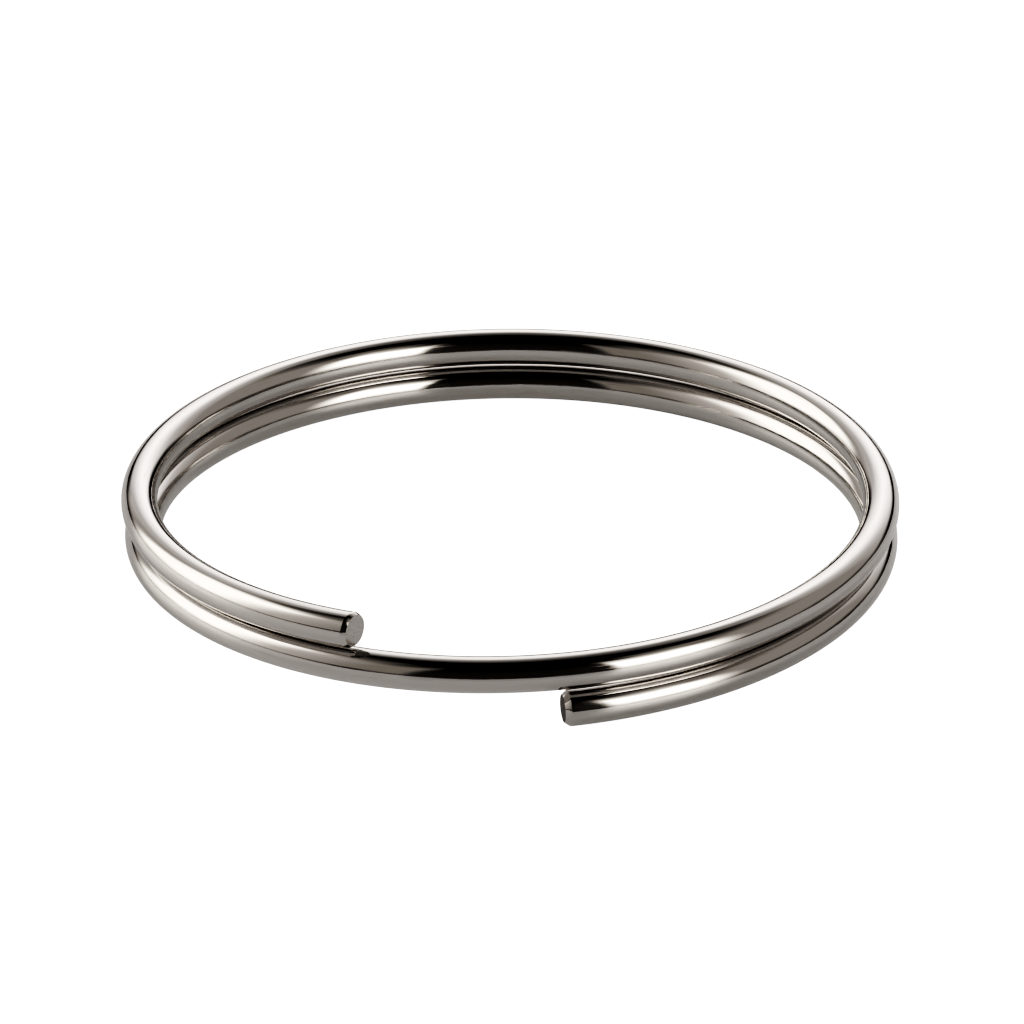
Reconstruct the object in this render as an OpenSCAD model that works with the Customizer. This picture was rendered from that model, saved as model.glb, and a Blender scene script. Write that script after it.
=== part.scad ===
// Split ring: one length of round spring wire, close-wound for nearly two full turns.
//
// A key is pushed into the split at either end of the wire and slid round between the turns
// until it hangs free in the eye. The ring is one piece. The spring of its own wire keeps the
// turns together, and nothing on it is hinged or joined.
//
// The ring lies flat, as it comes to rest, with the middle of its split towards -Y. The origin
// is on the surface that it lies on, under the centre of the eye. The wire climbs
// counter-clockwise, seen from above.

/* [Wire] */
// Diameter of the round wire
wire_d = 1.5; // [0.8:0.1:2.5]

/* [Coil] */
// Outer diameter of the ring, over the wire
ring_od = 32; // [20:1:50]
// Turns of wire, counted as if the split were closed
turns = 2; // [1:1:4]
// Angle between the two ends of the wire, seen from above
split_angle = 31.5; // [16:0.5:60]
// Clear gap between one turn and the next
turn_gap = 0.08; // [0.04:0.01:0.3]
// Growth of the coil's radius in each turn, from the bottom up
turn_growth = 0.1; // [0:0.02:0.2]

/* [Lower end] */
// Distance that the lower end has sprung outwards from the coil
spring_out = 0.25; // [0:0.05:0.5]
// Turn of the coil, in degrees, over which most of that spring dies away
spring_angle = 34; // [15:1:60]
// Rake of the lower end's cut, which leaves the outside of the wire shorter
lower_rake = 4; // [0:1:25]
// Depth by which the shears rolled in the rim of the lower end
lower_roll_depth = 0.18; // [0.02:0.02:0.3]
// Length of wire that is rolled in at the lower end
lower_roll_length = 0.26; // [0.1:0.02:0.5]

/* [Upper end] */
// Rake of the upper end's cut, which leaves the outside of the wire shorter
upper_rake = 10; // [0:1:25]
// Depth by which the shears rolled in the rim of the upper end
upper_roll_depth = 0.1; // [0.02:0.02:0.3]
// Length of wire that is rolled in at the upper end
upper_roll_length = 0.18; // [0.1:0.02:0.5]

/* [Smoothness] */
// Sides of the wire's section
wire_sides = 24; // [12:4:32]
// Sections along the whole wire
wire_sections = 200; // [120:20:240]

/* [Hidden] */

wire_r = wire_d / 2;
mean_r = ring_od / 2 - wire_r;
pitch = wire_d + turn_gap;
wire_angle = 360 * turns - split_angle;

// The upright coil would stand on the tip of its lower end alone. It comes to rest leaning on
// that tip and on the far side of the bottom turn, half a turn on, where the wire lies level.
// These are the two slopes that bring both places down to the surface.
lean_to_end = atan(pitch / (4 * mean_r));
lean_across = atan(pitch / (2 * PI * mean_r));
centre_drop = pitch / 4;

// Steps along a rolled rim, and how it deepens: 1 gives a plain bevel, and 2 a round shoulder
roll_steps = 4;
roll_curve = 1.3;

// The slant of each cut dies away over this length of wire
cut_run = wire_d;

// Step in degrees that is used to find a heading
heading_step = 0.01;

// Angles in the coil are measured from the lower end, in degrees, and grow as the wire climbs.
function coil_r(a) =
    mean_r + turn_growth * (a / 360 - turns / 2) + spring_out * exp(-a / spring_angle);

function wire_centre(a) = [coil_r(a) * cos(a), coil_r(a) * sin(a), pitch * a / 360];

function unit(v) = v / norm(v);

function wire_heading(a) = unit(wire_centre(a + heading_step) - wire_centre(a - heading_step));

function arc_angle(length) = length / mean_r * 180 / PI;

// One round section of the wire. Its outside stands behind its inside by the slope slant.
function wire_section(a, radius, slant) =
    let (
        heading = wire_heading(a),
        outward = unit(cross(heading, [0, 0, 1])),
        upward = cross(outward, heading)
    )
    [
        for (side = [0 : wire_sides - 1])
            let (turn = 360 * side / wire_sides, out = radius * cos(turn), up = radius * sin(turn))
            wire_centre(a) + out * outward + up * upward - slant * out * heading
    ];

// The rolled rim of a cut, as [radius, distance from the cut] from the full wire to the face
function rolled_rim(depth, length) = [
    for (i = [0 : roll_steps])
        let (part = i / roll_steps)
        [wire_r - depth * pow(part, roll_curve), length * (1 - part)]
];

lower_rim = rolled_rim(lower_roll_depth, lower_roll_length);
upper_rim = rolled_rim(upper_roll_depth, upper_roll_length);
first_full = arc_angle(cut_run);
last_full = wire_angle - first_full;

wire_skin = concat(
    [
        for (i = [roll_steps : -1 : 0])
            wire_section(arc_angle(lower_rim[i][1]), lower_rim[i][0], -tan(lower_rake))
    ],
    [
        for (i = [0 : wire_sections])
            wire_section(first_full + (last_full - first_full) * i / wire_sections, wire_r, 0)
    ],
    [
        for (rim = upper_rim)
            wire_section(wire_angle - arc_angle(rim[1]), rim[0], tan(upper_rake))
    ]
);

module split_ring() {
    last = len(wire_skin) - 1;
    skin_faces = [
        for (i = [0 : last - 1], side = [0 : wire_sides - 1])
            let (next = (side + 1) % wire_sides, low = i * wire_sides, high = low + wire_sides)
            [low + side, low + next, high + next, high + side]
    ];
    lower_face = [for (side = [wire_sides - 1 : -1 : 0]) side];
    upper_face = [for (side = [0 : wire_sides - 1]) last * wire_sides + side];
    color("silver")
        translate([0, 0, wire_r - centre_drop])
        rotate([0, 0, split_angle / 2 - 90])
        rotate([lean_across, -lean_to_end, 0])
        polyhedron(
            points = [for (section = wire_skin) each section],
            faces = concat(skin_faces, [lower_face, upper_face])
        );
}

split_ring();
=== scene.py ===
# %% [markdown]
# # A split ring in bright nickel
# A split ring is one length of spring wire, wound for nearly two turns and sheared off at both
# ends. Everything here is one small piece of polished metal, so the lesson is about three
# things: a clean sweep along a coil, true cut ends, and a studio worth reflecting.
#
# We start from the imported part, which fixes the ring's size and place. It is loaded once.
# Blender works in metres, so a millimetre gets a name of its own.

# %% Load the part that sets the size
from math import atan, cos, degrees, exp, pi, radians, sin, tan

import bmesh
import bpy
from mathutils import Matrix, Vector


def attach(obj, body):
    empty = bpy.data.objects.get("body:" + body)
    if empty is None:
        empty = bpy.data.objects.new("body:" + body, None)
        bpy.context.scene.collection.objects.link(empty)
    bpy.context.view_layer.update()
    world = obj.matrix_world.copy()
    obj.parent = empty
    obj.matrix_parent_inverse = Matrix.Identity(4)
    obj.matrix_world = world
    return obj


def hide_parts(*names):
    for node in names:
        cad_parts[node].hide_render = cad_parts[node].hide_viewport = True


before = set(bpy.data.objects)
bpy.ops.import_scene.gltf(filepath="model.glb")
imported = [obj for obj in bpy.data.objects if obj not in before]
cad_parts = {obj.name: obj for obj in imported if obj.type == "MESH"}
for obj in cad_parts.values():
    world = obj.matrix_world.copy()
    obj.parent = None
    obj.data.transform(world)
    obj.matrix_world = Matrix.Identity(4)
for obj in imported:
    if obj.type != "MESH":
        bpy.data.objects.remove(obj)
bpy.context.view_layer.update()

MM = 0.001

# %% [markdown]
# ## Sizes
# The sizes are those that a maker would set on the coiling machine: the wire, the outer diameter,
# the clear gap between the turns and the angle left open between the two ends. The coil grows a
# little as it climbs, and its lower end has sprung out. Everything else follows from these.

# %% The wire and the coil
FULL_TURN = 360
QUARTER_TURN = 90
WIRE_R = 0.75 * MM
RING_OD = 32 * MM
TURNS = 2
SPLIT_ANGLE = 31.5
TURN_GAP = 0.08 * MM
TURN_GROWTH = 0.1 * MM
SPRING_OUT = 0.25 * MM
SPRING_ANGLE = 34

MEAN_R = RING_OD / 2 - WIRE_R
PITCH = 2 * WIRE_R + TURN_GAP
WIRE_ANGLE = FULL_TURN * TURNS - SPLIT_ANGLE
print("the wire turns through", WIRE_ANGLE, "degrees and climbs", round(PITCH / MM, 2), "mm a turn")

# %% [markdown]
# ## Camera
# Camera first, because every later choice is judged through it. A long lens from about 40 cm
# keeps the ring's ellipse calm. The eye stands a little to the right of the split and about 26
# degrees above the surface, so that both cut ends and the inside of the far turns can be seen.

# %% Place the camera
EYE_BEARING = 8.17
EYE_HEIGHT_ANGLE = 26.2
EYE_DISTANCE = 413.4 * MM
LENS = 352
AIM = Vector((0, 0, 2 * MM))
NEAR_LIMIT = 10 * MM
FAR_LIMIT = 100

across = EYE_DISTANCE * cos(radians(EYE_HEIGHT_ANGLE))
eye = AIM + Vector((
    across * sin(radians(EYE_BEARING)),
    -across * cos(radians(EYE_BEARING)),
    EYE_DISTANCE * sin(radians(EYE_HEIGHT_ANGLE)),
))
camera = bpy.data.objects.new("camera", bpy.data.cameras.new("camera"))
camera.data.lens = LENS
camera.data.clip_start = NEAR_LIMIT
camera.data.clip_end = FAR_LIMIT
camera.location = eye
camera.rotation_euler = (AIM - eye).to_track_quat("-Z", "Y").to_euler()
bpy.context.scene.collection.objects.link(camera)
bpy.context.scene.camera = camera
print("camera at", [round(c, 3) for c in camera.location])

# %% [markdown]
# ## The line of the wire
# Before any mesh there is a rule: where the middle of the wire is, and where it is heading, at
# each angle along the coil. Angle 0 is the lower end, and the wire climbs counter-clockwise. A
# section is the flat disc across the wire at one angle, written as a matrix, so that one line of
# code can put a ring of points there.

# %% The rule of the coil
HEADING_STEP = 0.01


def coil_radius(angle):
    """Distance of the wire's middle from the coil's axis, with the angle in degrees."""
    growth = TURN_GROWTH * (angle / FULL_TURN - TURNS / 2)
    return MEAN_R + growth + SPRING_OUT * exp(-angle / SPRING_ANGLE)


def wire_centre(angle):
    turn = radians(angle)
    radius = coil_radius(angle)
    return Vector((radius * cos(turn), radius * sin(turn), PITCH * angle / FULL_TURN))


def wire_heading(angle):
    return (wire_centre(angle + HEADING_STEP) - wire_centre(angle - HEADING_STEP)).normalized()


def section(angle, radius=WIRE_R, slant=0):
    """The matrix of one round section, with its outside set back by the slope slant."""
    centre = wire_centre(angle)
    ahead = wire_heading(angle)
    outward = Vector((centre.x, centre.y, 0)).normalized()
    outward = (outward - outward.dot(ahead) * ahead).normalized()
    up = outward.cross(ahead)
    columns = [(outward - slant * ahead) * radius, up * radius, ahead * radius]
    placed = Matrix(columns).transposed().to_4x4()
    placed.translation = centre
    return placed


print("the wire's middle starts at, mm:", [round(c / MM, 2) for c in wire_centre(0)])

# %% [markdown]
# ## Sweep the wire
# The coil could be a curve with a bevel, but then its ends could not be shaped. Here one circle
# is spun about the coil's axis, and each step also lifts it, which makes a screw. Afterwards
# every section moves outwards by what the coil has grown or sprung out at its angle. The spin
# stops short of both ends, to leave room for the cuts.

# %% Spin a circle along the coil
SIDES = 80
SECTIONS = 341
TRIM = 3.25
STEP = (WIRE_ANGLE - 2 * TRIM) / SECTIONS

coil = bmesh.new()
along = coil.verts.layers.float.new("along")
upright = Matrix.Rotation(radians(QUARTER_TURN), 4, "X")
lift = Matrix.Translation((MEAN_R, 0, PITCH * TRIM / FULL_TURN))
start = Matrix.Rotation(radians(TRIM), 4, "Z") @ lift @ upright
bmesh.ops.create_circle(coil, segments=SIDES, radius=WIRE_R, matrix=start)
bmesh.ops.spin(
    coil, geom=coil.verts[:] + coil.edges[:], cent=(0, 0, 0), axis=(0, 0, 1),
    dvec=(0, 0, PITCH * STEP / FULL_TURN), angle=radians(WIRE_ANGLE - 2 * TRIM), steps=SECTIONS,
)
coil.verts.index_update()
for vert in coil.verts:
    angle = TRIM + vert.index // SIDES * STEP
    vert[along] = angle
    outward = Vector((vert.co.x, vert.co.y, 0)).normalized()
    vert.co += (coil_radius(angle) - MEAN_R) * outward
print("sections:", len(coil.verts) // SIDES, "faces:", len(coil.faces))

# %% [markdown]
# ## The cut ends
# Shears roll the rim of the wire in before they part it, so each end has a short curved bevel
# round a nearly square face. A plain bevel operator would give both ends the same rim, but here
# the lower end is rolled deeper than the upper one. So the open rim is extruded in small steps,
# and each new ring is placed, drawn in and slanted by one matrix. The first steps lead up to the
# rim at full width. The slant is the rake of the cut, because shears never stand quite square.

# %% Roll the rim in and close an end
ROLL_STEPS = 8
ROLL_CURVE = 1.3
LEAD_STEPS = 2
RIM_REACH = 1


def cut_end(end_angle, inward, rake, depth, length):
    """Finishes an end. inward is 1 where the wire runs on at higher angles, and -1 at lower."""
    start_angle = end_angle + inward * TRIM
    open_edges = [edge for edge in coil.edges if edge.is_boundary]
    rim = [edge for edge in open_edges if abs(edge.verts[0][along] - start_angle) < RIM_REACH]
    placed = section(start_angle)
    slant = -inward * tan(radians(rake))
    for step in range(-LEAD_STEPS, ROLL_STEPS + 1):
        part = step / ROLL_STEPS
        drop = depth * max(part, 0) ** ROLL_CURVE
        angle = end_angle + inward * degrees(length * (1 - part) / MEAN_R)
        wanted = section(angle, WIRE_R - drop, slant)
        made = bmesh.ops.extrude_edge_only(coil, edges=rim)["geom"]
        rim = [item for item in made if isinstance(item, bmesh.types.BMEdge)]
        ring_verts = [item for item in made if isinstance(item, bmesh.types.BMVert)]
        bmesh.ops.transform(coil, matrix=wanted @ placed.inverted(), verts=ring_verts)
        placed = wanted
        for vert in ring_verts:
            vert[along] = angle
    return bmesh.ops.contextual_create(coil, geom=rim)["faces"][0]


# %% Cut both ends
LOWER_RAKE = 4
LOWER_ROLL_DEPTH = 0.18 * MM
LOWER_ROLL_LENGTH = 0.26 * MM
UPPER_RAKE = 10
UPPER_ROLL_DEPTH = 0.1 * MM
UPPER_ROLL_LENGTH = 0.18 * MM
LOWER_FINISH = 1
UPPER_FINISH = 2

lower_face = cut_end(0, 1, LOWER_RAKE, LOWER_ROLL_DEPTH, LOWER_ROLL_LENGTH)
lower_face.material_index = LOWER_FINISH
upper_face = cut_end(WIRE_ANGLE, -1, UPPER_RAKE, UPPER_ROLL_DEPTH, UPPER_ROLL_LENGTH)
upper_face.material_index = UPPER_FINISH
face_areas = [round(face.calc_area() / MM ** 2, 3) for face in (lower_face, upper_face)]
print("lower and upper face, mm2:", face_areas)

# %% [markdown]
# ## Remember the straight wire
# Wire is drawn through a die before it is wound, and the die leaves fine lines along it. To paint
# lines that follow the coil, each point remembers where it lay on the straight wire: how far
# along, and where round its section. The materials read this as an attribute named drawn.

# %% Write the drawn attribute
drawn = coil.verts.layers.float_vector.new("drawn")
to_section = {}
for vert in coil.verts:
    angle = vert[along]
    if angle not in to_section:
        to_section[angle] = section(angle).inverted()
    local = to_section[angle] @ vert.co
    vert[drawn] = (radians(angle) * MEAN_R, local.x * WIRE_R, local.y * WIRE_R)
print("length of the straight wire, mm:", round(radians(WIRE_ANGLE) * MEAN_R / MM, 1))

# %% [markdown]
# ## Lay the ring down
# An upright coil would stand on the tip of its lower end alone. A real one leans until the far
# side of its bottom turn touches as well. Both slopes follow from the pitch and the radius, so
# nothing has to be found by trial. The faces are then turned outwards and shaded smooth, apart
# from the two flat cuts.

# %% Lean the coil, turn its split to the front and make the object
LEAN_TO_END = atan(PITCH / (4 * MEAN_R))
LEAN_ACROSS = atan(PITCH / (2 * pi * MEAN_R))
SAME_PLACE = 0.0001 * MM

lay = (
    Matrix.Translation((0, 0, WIRE_R - PITCH / 4))
    @ Matrix.Rotation(radians(SPLIT_ANGLE / 2 - QUARTER_TURN), 4, "Z")
    @ Matrix.Rotation(-LEAN_TO_END, 4, "Y")
    @ Matrix.Rotation(LEAN_ACROSS, 4, "X")
)
bmesh.ops.transform(coil, matrix=lay, verts=coil.verts)
bmesh.ops.remove_doubles(coil, verts=coil.verts, dist=SAME_PLACE)
bmesh.ops.recalc_face_normals(coil, faces=coil.faces)
for face in coil.faces:
    face.smooth = face.material_index == 0
for edge in coil.edges:
    finishes = {face.material_index for face in edge.link_faces}
    edge.smooth = len(finishes) == 1
ring_mesh = bpy.data.meshes.new("wound_wire")
coil.to_mesh(ring_mesh)
coil.free()
ring = bpy.data.objects.new("wound_wire", ring_mesh)
bpy.context.scene.collection.objects.link(ring)
lowest = min(vert.co.z for vert in ring_mesh.vertices)
print("faces:", len(ring_mesh.polygons), "lowest point, mm:", round(lowest / MM, 4))

# %% [markdown]
# ## Small helpers for shader nodes
# A material is a little program of nodes. Most of these helpers add one node and return its
# output, so that a finish can be read as a formula. The last two make a group of nodes and add it
# to a finish. The helpers serve the materials and the studio alike.

# %% Node helpers
PER_MM = 1 / MM


def feed(tree, socket, value):
    """Links a socket to another node, or sets its value."""
    if isinstance(value, bpy.types.NodeSocket):
        tree.links.new(value, socket)
    else:
        socket.default_value = value


def calc(tree, operation, *values, kind="ShaderNodeMath"):
    node = tree.nodes.new(kind)
    node.operation = operation
    for socket, value in zip(node.inputs, values):
        feed(tree, socket, value)
    return node.outputs[0]


def vector_calc(tree, operation, first, second):
    return calc(tree, operation, first, second, kind="ShaderNodeVectorMath")


def stretch(tree, place, factors):
    return vector_calc(tree, "MULTIPLY", place, factors)


def noise(tree, place, detail):
    node = tree.nodes.new("ShaderNodeTexNoise")
    node.inputs["Scale"].default_value = 1
    node.inputs["Detail"].default_value = detail
    feed(tree, node.inputs["Vector"], place)
    return node.outputs["Fac"]


def ramp(tree, value, start, end, low=0, high=1):
    """low before start and high after end, with a smooth passage."""
    node = tree.nodes.new("ShaderNodeMapRange")
    node.interpolation_type = "SMOOTHSTEP"
    feed(tree, node.inputs["Value"], value)
    node.inputs["From Min"].default_value = start
    node.inputs["From Max"].default_value = end
    node.inputs["To Min"].default_value = low
    node.inputs["To Max"].default_value = high
    return node.outputs[0]


def blend_colours(tree, mask, first, second):
    """The Mix node keeps its colour sockets after those for numbers and vectors."""
    node = tree.nodes.new("ShaderNodeMix")
    node.data_type = "RGBA"
    colours = [socket for socket in node.inputs if socket.type == "RGBA"]
    feed(tree, node.inputs["Factor"], mask)
    feed(tree, colours[0], first)
    feed(tree, colours[1], second)
    return next(socket for socket in node.outputs if socket.type == "RGBA")


def attribute(tree, name):
    node = tree.nodes.new("ShaderNodeAttribute")
    node.attribute_name = name
    return node.outputs["Vector"]


def bump(tree, height, relief):
    """A normal from a height between 0 and 1, where 1 stands relief metres above 0."""
    node = tree.nodes.new("ShaderNodeBump")
    node.inputs["Distance"].default_value = relief
    feed(tree, node.inputs["Height"], height)
    return node.outputs["Normal"]


def new_group(name, *outputs):
    """An empty group of nodes that takes a place on the wire and puts out masks."""
    group = bpy.data.node_groups.new(name, "ShaderNodeTree")
    group.interface.new_socket("Place", in_out="INPUT", socket_type="NodeSocketVector")
    for output in outputs:
        group.interface.new_socket(output, in_out="OUTPUT", socket_type="NodeSocketFloat")
    place = group.nodes.new("NodeGroupInput").outputs["Place"]
    return group, place, group.nodes.new("NodeGroupOutput").inputs


def add_group(tree, group):
    """Adds a group to a finish, places it on the drawn attribute and returns its outputs."""
    node = tree.nodes.new("ShaderNodeGroup")
    node.node_tree = group
    feed(tree, node.inputs["Place"], attribute(tree, "drawn"))
    return node.outputs


print("one metre is", round(PER_MM), "mm")

# %% [markdown]
# ## The marks of the draw bench
# A die draws wire with fine lines along it, and polishing leaves them soft. Handling adds hair
# scratches that run the same way, and the plating has slightly cloudier places. One node group
# makes all three from the drawn attribute. Its noise is stretched along the wire, so that a line
# runs for several millimetres and follows the coil, where a plain noise would only look grainy.
# The group puts out masks, and each finish decides what to do with them.

# %% Group: drawn marks
LINE_STRETCH = Vector((0.16, 7, 7)) * PER_MM
HAIR_STRETCH = Vector((0.5, 26, 26)) * PER_MM
CLOUD_STRETCH = Vector((0.3, 0.9, 0.9)) * PER_MM
LINE_DETAIL = 5
HAIR_DETAIL = 2
CLOUD_DETAIL = 3
HAIR_START = 0.64
HAIR_END = 0.7
CLOUD_START = 0.3
CLOUD_END = 0.7

marks, place, masks = new_group("drawn_marks", "Lines", "Hairs", "Clouds")
lines = noise(marks, stretch(marks, place, LINE_STRETCH), LINE_DETAIL)
hairs = noise(marks, stretch(marks, place, HAIR_STRETCH), HAIR_DETAIL)
clouds = noise(marks, stretch(marks, place, CLOUD_STRETCH), CLOUD_DETAIL)
feed(marks, masks["Lines"], lines)
feed(marks, masks["Hairs"], ramp(marks, hairs, HAIR_START, HAIR_END))
feed(marks, masks["Clouds"], ramp(marks, clouds, CLOUD_START, CLOUD_END))
print("group", marks.name, "nodes:", len(marks.nodes))

# %% [markdown]
# ## Bright nickel
# Bright nickel reflects about two thirds of the light and is nearly as clear as a mirror. Its
# colour is only a little warm, and it tells most between the turns, where light bounces more than
# once. The draw lines are only a few thousandths of a millimetre high, yet they streak every
# reflection, because a mirror doubles each change of slope.

# %% Finish: bright nickel
NICKEL = (0.66, 0.65, 0.64, 1)
WORN_NICKEL = (0.5, 0.47, 0.44, 1)
CLEAR = 0.05
CLOUDY = 0.1
HAIR_ROUGHNESS = 0.12
HAIR_TINT = 0.5
LINE_RELIEF = 0.004 * MM


def new_material(name, metallic=1):
    material = bpy.data.materials.new(name)
    material.use_nodes = True
    shader = material.node_tree.nodes["Principled BSDF"]
    shader.inputs["Metallic"].default_value = metallic
    return material, material.node_tree, shader


plate, tree, shader = new_material("polished_nickel")
marked = add_group(tree, marks)
worn = calc(tree, "MULTIPLY", marked["Hairs"], HAIR_TINT)
feed(tree, shader.inputs["Base Color"], blend_colours(tree, worn, NICKEL, WORN_NICKEL))
cloudy = ramp(tree, marked["Clouds"], 0, 1, CLEAR, CLOUDY)
rough = calc(tree, "MULTIPLY_ADD", marked["Hairs"], HAIR_ROUGHNESS, cloudy)
feed(tree, shader.inputs["Roughness"], rough)
feed(tree, shader.inputs["Normal"], bump(tree, marked["Lines"], LINE_RELIEF))
ring_mesh.materials.append(plate)
print("finish", plate.name, "nodes:", len(tree.nodes))

# %% [markdown]
# ## The two cut faces
# A blade leaves fine parallel lines where it slid and small pits where the metal tore. The same
# group of nodes serves both faces with different values: the lower one is given a near-black
# colour and left dull, and the upper one was cut cleanly and took some of the plating's shine.
# Across the cut, the drawn attribute is simply the place on the face.

# %% Group: shear marks
SHEAR_STRETCH = Vector((0, 16, 1.5)) * PER_MM
PIT_STRETCH = Vector((0, 11, 11)) * PER_MM
SHEAR_DETAIL = 3
PIT_DETAIL = 2
PIT_START = 0.55
PIT_END = 0.75

cuts, place, masks = new_group("shear_marks", "Lines", "Pits")
pits = noise(cuts, stretch(cuts, place, PIT_STRETCH), PIT_DETAIL)
feed(cuts, masks["Lines"], noise(cuts, stretch(cuts, place, SHEAR_STRETCH), SHEAR_DETAIL))
feed(cuts, masks["Pits"], ramp(cuts, pits, PIT_START, PIT_END))
print("group", cuts.name, "nodes:", len(cuts.nodes))

# %% Finishes: the near-black lower face and the clean upper face


def cut_finish(name, metal, pit, roughness, pit_roughness, relief):
    material, tree, shader = new_material(name)
    marked = add_group(tree, cuts)
    feed(tree, shader.inputs["Base Color"], blend_colours(tree, marked["Pits"], metal, pit))
    rough = ramp(tree, marked["Pits"], 0, 1, roughness, pit_roughness)
    feed(tree, shader.inputs["Roughness"], rough)
    feed(tree, shader.inputs["Normal"], bump(tree, marked["Lines"], relief))
    return material


# The lower cut face gets a near-black colour set directly here, with no modelled cause for its
# darkness.
DARK_FACE_METAL = (0.06, 0.055, 0.05, 1)
DARK_FACE_PIT = (0.02, 0.018, 0.016, 1)
DULL_PIT = (0.5, 0.48, 0.46, 1)
dark_face = cut_finish(
    "dark_lower_face", metal=DARK_FACE_METAL, pit=DARK_FACE_PIT, roughness=0.3, pit_roughness=0.5,
    relief=0.002 * MM,
)
sheared = cut_finish(
    "sheared_face", metal=NICKEL, pit=DULL_PIT, roughness=0.22, pit_roughness=0.4,
    relief=0.001 * MM,
)
ring_mesh.materials.append(dark_face)
ring_mesh.materials.append(sheared)
print("finishes on the ring:", [material.name for material in ring_mesh.materials])

# %% [markdown]
# ## The studio
# Polished metal shows nothing but its surroundings, so most of the likeness is in the light. The
# studio is painted on the world: each panel is a soft patch of light with a bearing, a width and
# a height. Bearings are counted to the right from the bearing set for the camera above. That is a
# fixed value, so the studio stays put when the ring is looked at from elsewhere. Painting is
# simpler than real softboxes here, because the edge of each patch can fade as slowly as it likes.

# %% Helper: one panel of light
world = bpy.data.worlds.new("studio")
world.use_nodes = True
bpy.context.scene.world = world
tree = world.node_tree
tree.nodes.clear()
TO_DEGREES = degrees(1)

direction = tree.nodes.new("ShaderNodeTexCoord").outputs["Generated"]
axes = tree.nodes.new("ShaderNodeSeparateXYZ")
tree.links.new(direction, axes.inputs[0])
height = calc(tree, "MULTIPLY", calc(tree, "ARCSINE", axes.outputs["Z"]), TO_DEGREES)


def bearing_from(middle):
    """Bearing of the direction that is being lit, in degrees to the right of middle."""
    x, y = axes.outputs["X"], axes.outputs["Y"]
    facing = radians(EYE_BEARING + middle)
    sideways = calc(tree, "MULTIPLY_ADD", x, cos(facing), calc(tree, "MULTIPLY", y, sin(facing)))
    ahead = calc(tree, "MULTIPLY_ADD", x, sin(facing), calc(tree, "MULTIPLY", y, -cos(facing)))
    return calc(tree, "MULTIPLY", calc(tree, "ARCTAN2", sideways, ahead), TO_DEGREES)


def panel(strength, left, right, top, low, soft_left=4, soft_right=4, soft_top=14, soft_low=28,
          fall=0):
    """A patch of light between heights low and top, in degrees, with edges as wide as soft says.

    Its top comes down by fall for each degree to the left of its middle.
    """
    off = bearing_from((left + right) / 2)
    half = (right - left) / 2
    lit = ramp(tree, off, -half - soft_left / 2, -half + soft_left / 2)
    lit = calc(tree, "MULTIPLY", lit, ramp(tree, off, half + soft_right / 2, half - soft_right / 2))
    lean = calc(tree, "MULTIPLY_ADD", calc(tree, "MINIMUM", off, 0), -fall, height)
    lit = calc(tree, "MULTIPLY", lit, ramp(tree, lean, top + soft_top / 2, top - soft_top / 2))
    lit = calc(tree, "MULTIPLY", lit, ramp(tree, height, low - soft_low / 2, low + soft_low / 2))
    return calc(tree, "MULTIPLY", lit, strength)


print("panels are placed from bearing", EYE_BEARING, "and keep their places in every view")

# %% [markdown]
# ## Hang the lights
# A large softbox stands on the left and a narrower, stronger one in front on the right. The far
# side of the room is bright too. Pale walls fill the rest, and only the camera's own side and the
# ceiling stay dark: they give the ring its black streaks. Most of the light fades out just above
# the floor, and that dark foot draws a thin line along the middle of many turns. The lamps are
# warm, and the daylight from behind is a little cooler.

# %% Add up the panels
lamps = [
    panel(strength=0.92, left=-135.5, right=-86, top=52, low=4, soft_left=9, soft_right=26,
          soft_top=12, soft_low=20, fall=0.3),
    panel(strength=1.7, left=29.3, right=62, top=41, low=8, soft_right=21, soft_top=12,
          soft_low=36),
    panel(strength=0.45, left=29.3, right=62, top=52, low=8, soft_right=12, soft_top=12,
          soft_low=36),
]
walls = [
    panel(strength=0.31, left=-140, right=-80, top=54, low=0, soft_left=9, soft_right=40,
          soft_low=24, fall=0.3),
    panel(strength=0.12, left=-120, right=-56, top=67, low=-4, soft_left=20, soft_right=24,
          soft_top=12),
    panel(strength=0.215, left=-156, right=-31, top=54, low=4, soft_left=10, soft_top=24,
          soft_low=8),
    panel(strength=0.04, left=-31, right=27, top=50, low=-6, soft_top=60),
    panel(strength=0.14, left=44, right=84, top=67, low=54, soft_left=14, soft_right=14,
          soft_top=12, soft_low=10),
    panel(strength=0.255, left=28, right=134, top=54, low=5, soft_right=16, soft_top=26,
          soft_low=14),
]
daylight = [
    panel(strength=0.95, left=152, right=190, top=46, low=9, soft_left=46, soft_right=40,
          soft_top=18, soft_low=10),
    panel(strength=0.3, left=131, right=210, top=66, low=9, soft_left=20, soft_right=30,
          soft_top=44, soft_low=10),
]
LAMP_COLOUR = (1, 0.947, 0.875)
WALL_COLOUR = (1, 0.942, 0.885)
DAYLIGHT_COLOUR = (1, 0.955, 0.93)


def total(lights):
    result = lights[0]
    for light in lights[1:]:
        result = calc(tree, "ADD", result, light)
    return result


glow = vector_calc(tree, "MULTIPLY", LAMP_COLOUR, total(lamps))
for colour, lights in ((WALL_COLOUR, walls), (DAYLIGHT_COLOUR, daylight)):
    tinted = vector_calc(tree, "MULTIPLY", colour, total(lights))
    glow = vector_calc(tree, "ADD", glow, tinted)
print("panels of light:", len(lamps) + len(walls) + len(daylight))

# %% [markdown]
# Seen by the camera itself, the world is plain white, as a paper backdrop is. The Light Path node
# tells a direct look from a reflection.

# %% White for the camera, the studio for everything else
looked_at = tree.nodes.new("ShaderNodeLightPath").outputs["Is Camera Ray"]
background = tree.nodes.new("ShaderNodeBackground")
feed(tree, background.inputs["Color"], vector_calc(tree, "MAXIMUM", glow, looked_at))
world_end = tree.nodes.new("ShaderNodeOutputWorld")
tree.links.new(background.outputs[0], world_end.inputs["Surface"])
print("world nodes:", len(tree.nodes))

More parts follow.
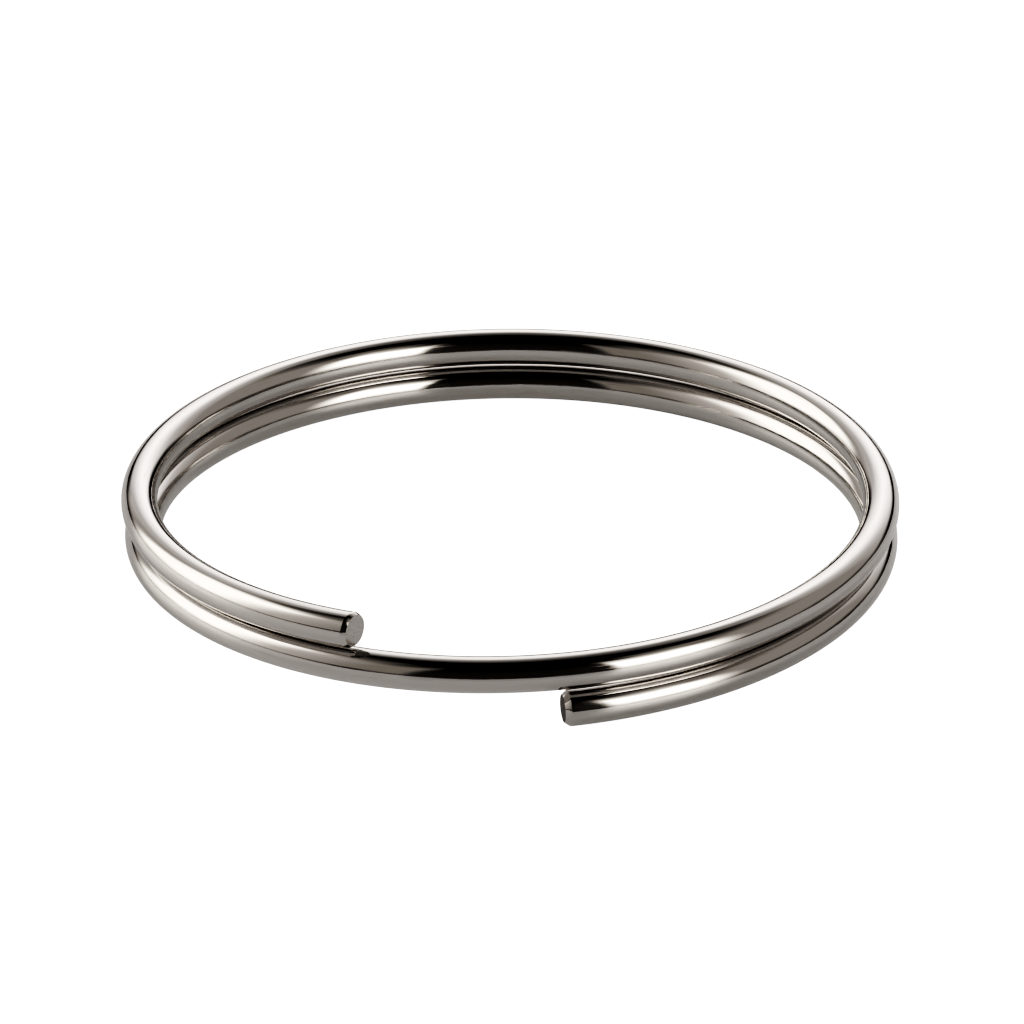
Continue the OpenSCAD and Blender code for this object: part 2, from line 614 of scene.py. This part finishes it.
# %% [markdown]
# ## The print
# A product picture is printed with more contrast than the eye sees: shadows close to black and a
# white that burns out. The view settings hold a curve for this, so the light itself can stay
# natural. Each point says how bright a tone is in the scene and how bright it is printed.

# %% Bend the tones
NEAR_BLACK = (0.03, 0.003)
DEEP_SHADOW = (0.081, 0.032)
SHADOW = (0.155, 0.17)
DARK_GREY = (0.198, 0.26)
MID_GREY = (0.325, 0.49)
LIGHT_GREY = (0.59, 0.79)
ALL_CHANNELS = 3

view = bpy.context.scene.view_settings
view.view_transform = "Standard"
view.use_curve_mapping = True
curve = view.curve_mapping.curves[ALL_CHANNELS]
for tone in (NEAR_BLACK, DEEP_SHADOW, SHADOW, DARK_GREY, MID_GREY, LIGHT_GREY):
    curve.points.new(*tone)
view.curve_mapping.update()
print("points on the curve:", len(curve.points))

# %% [markdown]
# ## The floor
# The ring lies on smooth white card with a faint gloss, which shows in the lower half of every
# turn. To the camera alone the card also glows strongly, so that it burns out to the same white
# as the backdrop and leaves the ring standing clear. What the metal reflects is the plain card
# with only a faint glow.

# %% White card
FLOOR_SIZE = 6
CARD_WHITE = (0.66, 0.663, 0.675, 1)
WHITE = (1, 1, 1, 1)
CARD_FILL = 0.08
CARD_BACKLIGHT = 0.88
CARD_ROUGHNESS = 0.25
CARD_IOR = 1.5
FIBRE_SIZE = 0.4 * MM
FIBRE_SHADE = 0.96
FIBRE_DETAIL = 3

plane = bmesh.new()
bmesh.ops.create_grid(plane, x_segments=1, y_segments=1, size=FLOOR_SIZE / 2)
floor_mesh = bpy.data.meshes.new("floor")
plane.to_mesh(floor_mesh)
plane.free()
floor = bpy.data.objects.new("floor", floor_mesh)
bpy.context.scene.collection.objects.link(floor)

card, tree, shader = new_material("white_card", metallic=0)
shader.inputs["Roughness"].default_value = CARD_ROUGHNESS
shader.inputs["IOR"].default_value = CARD_IOR
shader.inputs["Emission Color"].default_value = WHITE
shader.inputs["Emission Strength"].default_value = CARD_FILL
here = tree.nodes.new("ShaderNodeTexCoord").outputs["Object"]
fibres = noise(tree, stretch(tree, here, Vector((1, 1, 1)) / FIBRE_SIZE), FIBRE_DETAIL)
shaded = tuple(FIBRE_SHADE * channel for channel in CARD_WHITE[:3]) + (1,)
feed(tree, shader.inputs["Base Color"], blend_colours(tree, fibres, CARD_WHITE, shaded))
backlight = tree.nodes.new("ShaderNodeEmission")
backlight.inputs["Strength"].default_value = CARD_BACKLIGHT
both = tree.nodes.new("ShaderNodeAddShader")
tree.links.new(shader.outputs[0], both.inputs[0])
tree.links.new(backlight.outputs[0], both.inputs[1])
choice = tree.nodes.new("ShaderNodeMixShader")
tree.links.new(tree.nodes.new("ShaderNodeLightPath").outputs["Is Camera Ray"], choice.inputs[0])
tree.links.new(shader.outputs[0], choice.inputs[1])
tree.links.new(both.outputs[0], choice.inputs[2])
tree.links.new(choice.outputs[0], tree.nodes["Material Output"].inputs["Surface"])
floor_mesh.materials.append(card)
print("floor, metres across:", FLOOR_SIZE)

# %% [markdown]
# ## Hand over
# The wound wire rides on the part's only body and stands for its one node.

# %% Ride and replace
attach(ring, "root")
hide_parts("split_ring")
